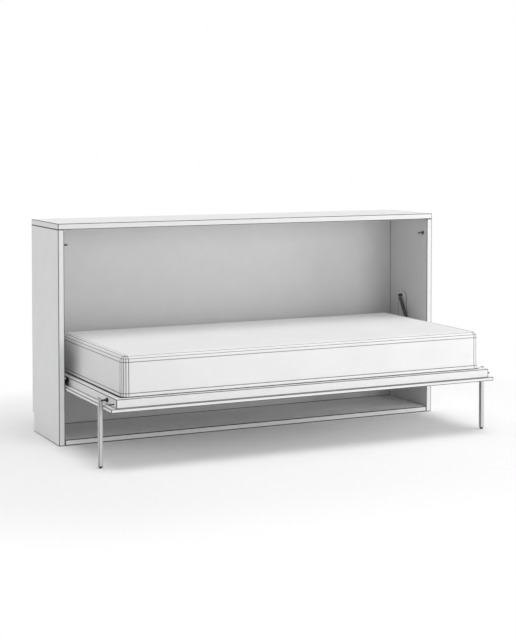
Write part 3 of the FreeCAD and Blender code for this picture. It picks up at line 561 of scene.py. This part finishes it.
class BedLooks(bpy.types.PropertyGroup):
    """Colours of the bed, and how its edging's joints show."""

    white: colour_property("White facing", "Facing of the cabinet, door and rails", (0.84, 0.84, 0.845))
    grey: colour_property("Grey facing", "Facing of the back", (0.67, 0.67, 0.675))
    # inner is painted shade: a darker copy of the white facing that stands for the shade inside the cabinet.
    inner: colour_property("Painted inner shade", "Painted shade on the sides' inner faces", (0.66, 0.66, 0.665))
    cover: colour_property("Mattress cover", "Knitted cover of the mattress", (0.88, 0.88, 0.88))
    thread: colour_property("Thread", "Thread of the mattress's seams", (0.03, 0.03, 0.032))
    beech: colour_property("Beech", "Slats and the strips under them", (0.62, 0.42, 0.24))
    light_steel: colour_property("Light steel", "Painted plates on the cabinet", (0.68, 0.68, 0.685))
    black_steel: colour_property("Black steel", "Painted fittings", (0.022, 0.022, 0.024))
    pin_steel: colour_property("Pin steel", "Phosphated catch pins", (0.10, 0.10, 0.102))
    black_plastic: colour_property("Black plastic", "Glides, bushes and slat holders", (0.018, 0.018, 0.019))
    leg_metal: colour_property("Leg metal", "Anodised tube of the legs", (0.54, 0.54, 0.55))
    rod: colour_property("Rod", "Blackened rods of the gas struts", (0.06, 0.06, 0.062))
    cylinder: colour_property("Cylinder", "Painted cylinders of the gas struts", (0.045, 0.045, 0.047))
    bronze: colour_property("Bronze", "Oil-dark bushes on the pivot pins", (0.055, 0.045, 0.035))
    zinc: colour_property("Zinc plate", "Pivot pins and screws", (0.60, 0.60, 0.61))
    joint_colour: colour_property("Joint colour", "Joint between a board's facing and its edging",
                                  (0.03, 0.03, 0.032))
    joint_width: FloatProperty(
        name="Joint width", description="How far from an edge the edging's joint shows",
        default=0.0040, unit="LENGTH")
    joint_depth: FloatProperty(
        name="Joint darkness", description="How dark the edging's joint is", default=0.95, subtype="FACTOR",
        min=0, max=1)


# ---- Pieces ----


class PieceOperator(bpy.types.Operator):
    """Shared by the operators of the bed's pieces."""

    bl_options = {"REGISTER", "UNDO"}


class BED_OT_boards(PieceOperator):
    """Face the cabinet's boards, the door and the rails"""

    bl_idname = "bed.boards"
    bl_label = "Faced boards"

    def execute(self, context):
        looks = context.scene.bed_looks
        for node in ("side_panel_left", "side_panel_right"):
            # The sides' inner faces get the painted shade colour.
            self.face(node, looks, inner=looks.inner)
        for node in ("top_board", "door_panel", "rail_front", "rail_rear", "rail_left", "rail_right"):
            self.face(node, looks)
        self.face("bottom_board", looks, joint=1.5)
        # The back is lined where it meets the other boards, not at its own hidden rim.
        low, high = box_of("back_panel")
        low[2] = box_of("bottom_board")[1][2]
        high[2] = box_of("top_board")[0][2]
        low[0], high[0] = box_of("side_panel_left")[1][0], box_of("side_panel_right")[0][0]
        dress(["back_panel"], faced_board("grey_back_panel", (low, high), looks.grey, looks, joint=0.7))
        return {"FINISHED"}

    def face(self, node, looks, **options):
        dress([node], faced_board(f"white_{node}", box_of(node), looks.white, looks, **options))


class BED_OT_slats(PieceOperator):
    """Finish the slats, the strips that carry them, and the loose tenons"""

    bl_idname = "bed.slats"
    bl_label = "Slats and strips"

    def execute(self, context):
        looks = context.scene.bed_looks
        slats = [name for name in frame["nodes"] if name.startswith("slat_") and name[5:].isdigit()]
        dress(slats, beech("laminated_beech", looks.beech, "Y", layers=True))
        dress(["ledger_front", "ledger_rear"], beech("strip_beech", looks.beech, "X"))
        dress(["middle_bearer", "cabinet_tenons"], beech("bearer_beech", looks.beech, "Y"))
        holders = moulded_plastic("holder_plastic", looks.black_plastic)
        dress(["slat_holders_front", "slat_holders_rear"], holders)
        return {"FINISHED"}


COARSE_STEP = 24 * MM    # grid of the cover that the simulation fills
FINE_STEP = 20 * MM      # grid of the finished cover, away from its seams
CLOTH_FRAMES = 20
CLOTH = {"quality": 6, "mass": 0.4, "tension_stiffness": 40, "compression_stiffness": 40,
         "shear_stiffness": 20, "bending_stiffness": 6, "use_pressure": True, "uniform_pressure_force": 4}
FOOT_HELD = 50 * MM      # height over which the cover's foot is held back from swelling
ROLL_RISE = 1.2 * MM     # how far the cover stands out midway between two upper seams
NO_SEAM = 1.0            # a distance, in metres, from which no seam shows
SAME = 1e-6              # numbers that differ by less are one


def spline_weights(knots, places):
    """Share of each knot's value in a smooth curve through all of them, at each place.

    A natural cubic spline is linear in its values, so the spline of each row of a unit matrix
    gives one column: second slopes m solve h0 m0 + 2 (h0 + h1) m1 + h1 m2 = 6 (change in slope).
    """
    count = len(knots)
    step = np.diff(knots)
    left = np.eye(count)
    right = np.zeros((count, count))
    inner = np.arange(1, count - 1)
    left[inner, inner - 1] = step[:-1]
    left[inner, inner] = 2 * (step[:-1] + step[1:])
    left[inner, inner + 1] = step[1:]
    right[inner, inner - 1] = 6 / step[:-1]
    right[inner, inner] = -6 / step[:-1] - 6 / step[1:]
    right[inner, inner + 1] = 6 / step[1:]
    bend = np.linalg.solve(left, right)
    span = np.clip(np.searchsorted(knots, places, side="right") - 1, 0, count - 2)
    width = step[span]
    far = (places - knots[span]) / width
    near = 1 - far
    unit = np.eye(count)
    square = (width ** 2)[:, None] / 6
    near_bend = (near ** 3 - near)[:, None] * bend[span]
    far_bend = (far ** 3 - far)[:, None] * bend[span + 1]
    return near[:, None] * unit[span] + far[:, None] * unit[span + 1] + square * (near_bend + far_bend)


class MattressForm:
    """The mattress's shape: a box rounded by one radius in plan and others at its top and bottom."""

    def __init__(self, low, high, sizes):
        self.centre = (low + high) / 2
        self.half = (high - low) / 2
        self.plan = sizes.mattress_corner
        self.top = sizes.mattress_top_round
        self.low = sizes.mattress_low_round
        self.sizes = sizes
        self.girth = (self.plan + self.top) / 2
        self.top_seams = np.linspace(0, math.pi / 2, sizes.top_seams)
        self.corner_seams = np.linspace(0, math.pi / 2, sizes.corner_seams)

    def lines(self, axis, step, fine):
        """Places of the grid's lines along an axis, close together where seams run."""
        half = self.half[axis]
        low_reach, high_reach = (self.low, self.top) if axis == 2 else (self.plan, self.plan)
        spots = np.concatenate([np.tan(self.top_seams), np.tan(self.corner_seams)])
        spots = np.unique(np.round(spots[spots < 1.001], 4))
        offsets = np.array([-1.7, -0.8, 0, 0.8, 1.7]) * self.sizes.seam_width if fine else np.zeros(1)
        ends = []
        for reach in (low_reach, high_reach):
            near = (spots[:, None] * reach + offsets).ravel()
            extra = np.linspace(0, reach, 6 if fine else 3)
            places = np.sort(np.concatenate([near, extra]))
            places = places[(places < reach - 0.0004) & (places > -0.003)]
            keep = np.append(np.diff(places) > 0.0006, True)
            ends.append(np.append(places[keep], reach))
        if axis == 2:
            ends[0] = np.concatenate([self.low - self.sizes.foot_seam + offsets, ends[0]])
        start = -(half - low_reach) - ends[0]
        finish = half - high_reach + ends[1]
        run_low, run_high = start[0], finish[0]
        count = max(2, round((run_high - run_low) / step))
        return np.concatenate([start[::-1], np.linspace(run_low, run_high, count + 1)[1:-1], finish])

    def patches(self, step, fine):
        """Six grids of box points, with the pair of line sets that each is made on."""
        lines = [self.lines(axis, step, fine) for axis in range(3)]
        for axis, (first, second) in enumerate(((1, 2), (0, 2), (0, 1))):
            for face in (-1, 1):
                u, v = np.meshgrid(lines[first], lines[second], indexing="ij")
                grid = np.empty((*u.shape, 3))
                grid[..., axis] = self.half[axis] * face
                grid[..., first] = u
                grid[..., second] = v
                yield grid, lines[first], lines[second]

    def shaped(self, grid):
        """Where a box point goes, the way out there, its distance down from the top's flat, its corner.

        The point's excess over an inner box, divided by the radii, is made a unit direction; the
        point is the inner box's nearest point plus radii times that direction.  The corner is the
        angle round it, the distance along the straight side from it, and how upright the side is.
        """
        reach = np.empty_like(grid)
        reach[..., :2] = self.plan
        reach[..., 2] = np.where(grid[..., 2] > 0, self.top, self.low)
        inner = np.clip(grid, reach - self.half, self.half - reach)
        way = (grid - inner) / reach
        way /= np.linalg.norm(way, axis=-1, keepdims=True)
        points = inner + reach * way
        level = np.hypot(way[..., 0], way[..., 1])
        fall = np.arctan2(level, way[..., 2])
        inset = np.min(self.half[:2] - self.plan - np.abs(grid[..., :2]), axis=-1)
        inset = np.where(np.abs(grid[..., 2]) >= self.half[2] - 1e-9, np.maximum(inset, 0), 0)
        drop = np.maximum(self.half[2] - self.top - points[..., 2], 0) * (fall > 1.5)
        down = fall * self.girth - inset + np.where(fall < 1.6, drop, NO_SEAM)
        down = np.where(points[..., 2] < self.low - self.half[2] - SAME, NO_SEAM, down)
        turn = np.arctan2(np.abs(way[..., 1]), np.abs(way[..., 0]))
        run = 0
        for axis in (1, 0):
            beyond = np.maximum(self.half[axis] - self.plan - np.abs(grid[..., axis]), 0)
            run = run + np.where(np.abs(way[..., axis]) < SAME, beyond, 0)
        return points, way, down, (turn, run, level)

    def seams(self, points, down, corner):
        """How strongly a point lies on a seam's thread and in its groove, and how high on a roll.

        All three go from 0 to 1.  Thread and groove are exp(-(distance / width)^2), the groove 1.3
        times as wide; between two seams round the top the roll is a parabola, highest midway.
        """
        turn, run, level = corner
        width = self.sizes.seam_width
        upright = points[..., 2] > self.low - self.half[2] - 0.0005
        round_top = np.min(np.abs(down[..., None] - self.top_seams * self.girth), axis=-1)
        foot = np.abs(points[..., 2] - (self.sizes.foot_seam - self.half[2]))
        foot = foot + np.where(level > 0.9, 0, NO_SEAM)
        corners = np.min(np.abs(turn[..., None] - self.corner_seams), axis=-1) * self.plan * level + run
        corners = corners / 1.2 + np.where(upright & (level > 0.30), 0, NO_SEAM)
        nearest = np.minimum(np.minimum(round_top, foot), corners)
        pitch = self.top_seams[1] * self.girth
        in_rolls = (down > 0) & (down < self.top_seams[-1] * self.girth)
        roll = np.where(in_rolls, 1 - (1 - 2 * np.minimum(round_top, pitch / 2) / pitch) ** 2, 0)
        return np.exp(-(nearest / width) ** 2), np.exp(-(nearest / (width * 1.3)) ** 2), roll


def filled(form, step, sizes):
    """How far each patch's coarse points move as the cover fills like a bag under light pressure.

    The coarse form is a Cloth object without gravity, stepped through its frames.  A move d is
    kept at d * cap / (cap + length of d), so that none is longer than the cap.
    """
    patches = list(form.patches(step, fine=False))
    grids = [form.shaped(grid)[0] for grid, _, _ in patches]
    piece = new_piece("mattress_blank", grids)
    points, quads, starts = joined(grids)
    welded, _, _, place = weld(points, quads)
    cloth = piece.modifiers.new("Cloth", "CLOTH")
    for name, value in CLOTH.items():
        setattr(cloth.settings, name, value)
    cloth.settings.effector_weights.gravity = 0
    cloth.point_cache.frame_start = 1
    cloth.point_cache.frame_end = CLOTH_FRAMES
    scene = bpy.context.scene
    for number in range(1, CLOTH_FRAMES + 1):
        scene.frame_set(number)
    evaluated = piece.evaluated_get(bpy.context.evaluated_depsgraph_get())
    result = np.empty(len(evaluated.data.vertices) * 3, np.float32)
    evaluated.data.vertices.foreach_get("co", result)
    move = result.reshape(-1, 3).astype(float) - welded
    bpy.data.objects.remove(piece)
    scene.frame_set(1)
    move -= move.mean(0) * (0, 1, 0)
    length = np.linalg.norm(move, axis=1, keepdims=True)
    move *= sizes.mattress_swell / (sizes.mattress_swell + length)
    moves = move[place]
    return [(moves[start:start + grid.shape[0] * grid.shape[1]].reshape(grid.shape), u, v)
            for start, (grid, u, v) in zip(starts, patches)]


class BED_OT_mattress(PieceOperator):
    """Make the mattress: a rounded foam block in a knitted cover with sewn edges"""

    bl_idname = "bed.mattress"
    bl_label = "Mattress"

    def execute(self, context):
        sizes = context.scene.bed_sizes
        looks = context.scene.bed_looks
        low, high = box_of("mattress")
        form = MattressForm(low, high, sizes)
        swell = filled(form, COARSE_STEP, sizes)
        grids = []
        sewn = []
        for (grid, u, v), moved in zip(form.patches(FINE_STEP, fine=True), swell):
            points, way, down, corner = form.shaped(grid)
            line, groove, roll = form.seams(points, down, corner)
            if moved is not None:
                move, coarse_u, coarse_v = moved
                across = spline_weights(coarse_u, u)
                along = spline_weights(coarse_v, v)
                move = np.einsum("ia,jb,abk->ijk", across, along, move) - way * sizes.mattress_slack
                points = points + move * np.clip((points[..., 2:] + form.half[2]) / FOOT_HELD, 0, 1)
            points = points + way * (roll * ROLL_RISE - groove * sizes.seam_depth)[..., None]
            points = points + form.centre
            points[..., 2] = np.maximum(points[..., 2], low[2])
            points[..., 1] = np.minimum(points[..., 1], high[1])
            grids.append(points)
            sewn.append(line.ravel())
        piece = new_piece("mattress_cover", grids, values={"sewn": np.concatenate(sewn)})
        cover = knitted_cover("mattress_knit", looks.cover, looks.thread)
        finish_piece(piece, "bed", cover)
        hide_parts("mattress")
        return {"FINISHED"}


class BED_OT_fittings(PieceOperator):
    """Finish the plates, pins, bushes, catches and stops, and put in their screws"""

    bl_idname = "bed.fittings"
    bl_label = "Fittings and screws"

    def execute(self, context):
        sizes = context.scene.bed_sizes
        looks = context.scene.bed_looks
        for node in ("fitting_plate_left", "fitting_plate_right"):
            rear = box_of(node)[1][1]
            dress([node], painted_steel(f"painted_{node}", looks.light_steel, 0.38, rim=0.95, rear=rear))
        dress(["wall_brackets"], painted_steel("painted_brackets", looks.light_steel, 0.38))
        for node in ("bed_plate_left", "bed_plate_right"):
            dress([node], painted_steel(f"black_{node}", looks.black_steel, 0.34, rim=0.5))
        black = painted_steel("black_fittings", looks.black_steel, 0.32)
        dress(["stop_pegs", "lower_studs", "upper_studs", "mattress_stops"], black)
        dress(["catch_pins"], painted_steel("grey_pins", looks.pin_steel, 0.36))
        plate = plated_steel("zinc_plate", looks.zinc)
        dress(["pivot_pins"], plate)
        dress(["pivot_bushes"], sintered_bronze("oiled_bronze", looks.bronze))
        dress(["leg_bushes"], moulded_plastic("bush_plastic", looks.black_plastic))
        for hand, side in SIDES:
            places = self.on_fitting_plate(hand, side)
            self.screws(f"plate_screws_{hand}", "cabinet", places, sizes, plate)
            places = self.on_bed_plate(hand, side)
            self.screws(f"bed_plate_screws_{hand}", "bed", places, sizes, plate, 0.85)
        self.screws("bracket_screws", "cabinet", self.on_brackets(), sizes, plate)
        self.screws("stop_screws", "bed", self.on_stops(), sizes, plate, 0.7)
        return {"FINISHED"}

    def screws(self, name, body, places, sizes, material, share=1.0):
        """Heads at (centre, axis), as one piece; share is that of the usual radius."""
        radius = sizes.screw_radius * share
        heads = [screw_head(centre, axis, radius, sizes.screw_rise) for centre, axis in places]
        finish_piece(new_piece(name, heads), body, material)

    def on_fitting_plate(self, hand, side):
        """Round the pivot pin, at the rear of the plate's foot, and in pairs up its strip."""
        low, high = box_of(f"fitting_plate_{hand}")
        face = low[0] if side > 0 else high[0]
        pin_low, pin_high = box_of("pivot_bushes")
        pivot_y, pivot_z = (pin_low[1] + pin_high[1]) / 2, (pin_low[2] + pin_high[2]) / 2
        beside_pin, over_pin, foot_rise = 18 * MM, 20 * MM, 17 * MM
        foot_rows, strip_rows, strip_heights = (62 * MM, 16 * MM), (16 * MM, 70 * MM), (0.43, 0.56)
        spots = [(pivot_y + beside_pin * a, pivot_z + over_pin * b) for a in (-1, 1) for b in (-1, 1)]
        spots += [(high[1] - row, low[2] + foot_rise) for row in foot_rows]
        spots += [(high[1] - row, height) for row in strip_rows for height in strip_heights]
        return [((face, y, z), (-side, 0, 0)) for y, z in spots]

    def on_bed_plate(self, hand, side):
        """Near the plate's two lower corners and its upper rear one."""
        low, high = box_of(f"bed_plate_{hand}")
        face = high[0] if side > 0 else low[0]
        inset, upper_inset = 8 * MM, 9 * MM
        spots = [(low[1] + inset, low[2] + inset), (high[1] - inset, low[2] + inset),
                 (high[1] - inset, high[2] - upper_inset)]
        return [((face, y, z), (side, 0, 0)) for y, z in spots]

    def on_brackets(self):
        """Two up through the top of each wall bracket."""
        low, high = box_of("wall_brackets")
        half_width, steel, inset, beside = 30 * MM, 3 * MM, 11 * MM, 16 * MM
        middle = (abs(low[0]) + abs(high[0])) / 2 - half_width
        return [((side * middle + shift, low[1] + inset, high[2] - steel), (0, 0, -1))
                for _, side in SIDES for shift in (-beside, beside)]

    def on_stops(self):
        """Two down through the foot of each mattress stop."""
        low, high = box_of("mattress_stops")
        half_width, steel, inset, beside = 20 * MM, 2 * MM, 7 * MM, 12 * MM
        outer = (high[0] - low[0]) / 2 - half_width
        return [((place + shift, high[1] - inset, low[2] + steel), (0, 0, 1))
                for place in (-outer, 0, outer) for shift in (-beside, beside)]


class BED_OT_legs(PieceOperator):
    """Finish the folding legs, their bolts and glides"""

    bl_idname = "bed.legs"
    bl_label = "Legs"

    def execute(self, context):
        looks = context.scene.bed_looks
        for node in ("leg_left", "leg_right"):
            dress([node], drawn_metal(f"anodised_{node}", looks.leg_metal, 0.30, node=node))
        dress(["leg_glide_left", "leg_glide_right"], moulded_plastic("glide_plastic", looks.black_plastic))
        dress(["leg_bolt_left", "leg_bolt_right"], painted_steel("black_bolts", looks.black_steel, 0.28))
        return {"FINISHED"}


# Outlines of small turned pieces, as (radius, distance along the axis) in millimetres.
SEAL = ((4.4, 14.5), (6.2, 15.0), (7.2, 16.4), (7.6, 18.2), (7.6, 20.5), (4.4, 20.5), (4.4, 14.5))
COLLAR = ((4.2, 0), (8.6, 0), (9.2, 0.7), (9.2, 2.6), (8.6, 3.4), (6.4, 4.6), (4.2, 4.6), (4.2, 0))


class BED_OT_struts(PieceOperator):
    """Finish the gas struts, with a seal at each cylinder's top and a collar round each upper stud"""

    bl_idname = "bed.struts"
    bl_label = "Gas struts"

    def execute(self, context):
        looks = context.scene.bed_looks
        dress(["strut_cylinder_left", "strut_cylinder_right"],
              painted_steel("black_cylinder", looks.cylinder, 0.22))
        dress(["strut_rod_left", "strut_rod_right"],
              drawn_metal("dark_rod", looks.rod, 0.18, stretch=0.2, depth=0.00001))
        seal = moulded_plastic("seal_rubber", looks.black_plastic)
        steel = painted_steel("black_collars", looks.black_steel, 0.3)
        stud = box_of("upper_studs")
        for hand, side in SIDES:
            rod_low, rod_high = box_of(f"strut_rod_{hand}")
            slide = next(joint for joint in frame["joints"] if joint["name"] == f"strut_slide_{hand}")
            down = np.array(slide["axis"], float)
            middle = np.array([(rod_low[0] + rod_high[0]) / 2, (stud[0][1] + stud[1][1]) / 2,
                               (stud[0][2] + stud[1][2]) / 2])
            piece = new_piece(f"strut_seal_{hand}", [turned(np.array(SEAL) * MM, middle, down)])
            finish_piece(piece, f"strut_cylinder_{hand}", seal)
            plate = box_of(f"fitting_plate_{hand}")
            face = plate[0][0] if side > 0 else plate[1][0]
            seat = np.array([face, middle[1], middle[2]])
            collar = turned(np.array(COLLAR) * MM, seat, (-side, 0, 0))
            piece = new_piece(f"stud_collar_{hand}", [collar])
            finish_piece(piece, "cabinet", steel)
        return {"FINISHED"}


# ---- Stage ----

FLOOR_REACH = 14         # the floor's edges from the middle, in metres
FLOOR_DROP = 0.6 * MM    # how far the floor lies under the bed's feet
FADE_END = 1.7           # square of the distance from the bed at which the floor is pure white
SKY_LIGHT = 0.46         # strength of the world's light on the bed


class BED_OT_stage(PieceOperator):
    """Lay the floor, light it softly and set up the camera"""

    bl_idname = "bed.stage"
    bl_label = "Stage"

    def execute(self, context):
        self.floor()
        self.world(context.scene)
        self.sun("overhead_light", 1.25, 40, (0.03, -0.14, 1.0))
        self.softbox("front_light", 94, 2.8, (3.2, -6.2, 1.9), (0.1, 0.0, 0.5))
        self.softbox("right_light", 82, 2.0, (5.5, -2.4, 1.3), (0.8, -0.2, 0.2))
        self.softbox("side_light", 13, 3.0, (-5.5, 1.6, 2.2), (-1.1, 0.2, 0.6))
        self.camera(context.scene)
        context.scene.view_settings.view_transform = "Standard"
        return {"FINISHED"}

    def floor(self):
        """A pale floor that takes the bed's shadow, and fades to white away from the bed where it is seen."""
        reach = np.linspace(-FLOOR_REACH, FLOOR_REACH, 3)
        x, y = np.meshgrid(reach, reach, indexing="ij")
        floor = new_piece("floor", [np.stack([x, y, np.full_like(x, -FLOOR_DROP)], -1)])
        finish = Finish("pale_floor")
        paint = finish.node("ShaderNodeBsdfDiffuse", inputs={"Color": (0.95, 0.95, 0.95, 1)})
        glow = finish.node("ShaderNodeEmission", inputs={"Strength": 1.0})
        x, y, _ = finish.axes()
        beside = (abs(x) - CAD_BOX[1][0]).most(0.0)
        before = (abs(y) - CAD_BOX[1][1]).most(0.0)
        away = (beside * beside + before * before).ramp(0.0, FADE_END)
        bright = finish.node("ShaderNodeMixShader", inputs={0: away, 1: paint, 2: glow})
        plain = finish.node("ShaderNodeBsdfDiffuse", inputs={"Color": (0.90, 0.90, 0.90, 1)})
        shader = finish.node("ShaderNodeMixShader", inputs={0: finish.seen(), 1: plain, 2: bright})
        floor.data.materials.append(finish.out(shader))

    def world(self, scene):
        """Soft light from all round, seen as plain white."""
        finish = Finish("studio", "worlds")
        white = (1, 1, 1, 1)
        soft = finish.node("ShaderNodeBackground", inputs={"Color": white, "Strength": SKY_LIGHT})
        bright = finish.node("ShaderNodeBackground", inputs={"Color": white, "Strength": 1.0})
        shader = finish.node("ShaderNodeMixShader", inputs={0: finish.seen(), 1: soft, 2: bright})
        scene.world = finish.out(shader)

    def sun(self, name, strength, spread, towards):
        """A distant light that comes from the direction towards, spread over an angle in degrees."""
        light = bpy.data.lights.new(name, "SUN")
        light.energy = strength
        light.angle = math.radians(spread)
        lamp = bpy.data.objects.new(name, light)
        lamp.rotation_mode = "QUATERNION"
        lamp.rotation_quaternion = Vector(towards).to_track_quat("Z", "Y")
        bpy.context.scene.collection.objects.link(lamp)

    def softbox(self, name, power, width, place, aim):
        """A wide square lamp at a place, facing a point."""
        light = bpy.data.lights.new(name, "AREA")
        light.energy = power
        light.size = width
        lamp = bpy.data.objects.new(name, light)
        lamp.location = place
        lamp.rotation_mode = "QUATERNION"
        lamp.rotation_quaternion = (Vector(place) - Vector(aim)).to_track_quat("Z", "Y")
        bpy.context.scene.collection.objects.link(lamp)

    def camera(self, scene):
        """A long lens at the picture's angle, tilted a little down, with the rest of its fall as shift."""
        camera = bpy.data.cameras.new("camera")
        camera.sensor_fit = "AUTO"
        camera.sensor_width = 36
        camera.lens = 83.12
        camera.shift_x = 0.00477
        camera.shift_y = -0.19314
        camera.clip_start = 0.1
        camera.clip_end = 100
        viewer = bpy.data.objects.new("camera", camera)
        viewer.location = (-3.39377, -6.96759, 1.58174)
        viewer.rotation_euler = (math.radians(87.5), 0, math.radians(-25.57238))
        scene.collection.objects.link(viewer)
        scene.camera = viewer


class BED_PT_panel(bpy.types.Panel):
    """The bed's sizes, colours and pieces"""

    bl_idname = "BED_PT_panel"
    bl_label = "Cabinet bed"
    bl_space_type = "VIEW_3D"
    bl_region_type = "UI"
    bl_category = "Cabinet bed"

    def draw(self, context):
        for group in (context.scene.bed_sizes, context.scene.bed_looks):
            box = self.layout.box()
            for name in group.__annotations__:
                box.prop(group, name)
        for operator in OPERATORS:
            self.layout.operator(operator.bl_idname)


OPERATORS = (BED_OT_stage, BED_OT_boards, BED_OT_slats, BED_OT_mattress, BED_OT_fittings, BED_OT_legs,
             BED_OT_struts)
CLASSES = (BedSizes, BedLooks, *OPERATORS, BED_PT_panel)


def register():
    for item in CLASSES:
        bpy.utils.register_class(item)
    bpy.types.Scene.bed_sizes = PointerProperty(type=BedSizes)
    bpy.types.Scene.bed_looks = PointerProperty(type=BedLooks)


def unregister():
    del bpy.types.Scene.bed_looks
    del bpy.types.Scene.bed_sizes
    for item in reversed(CLASSES):
        bpy.utils.unregister_class(item)


def main():
    register()
    for operator in OPERATORS:
        group, name = operator.bl_idname.split(".")
        getattr(getattr(bpy.ops, group), name)()


if __name__ == "__main__":
    main()
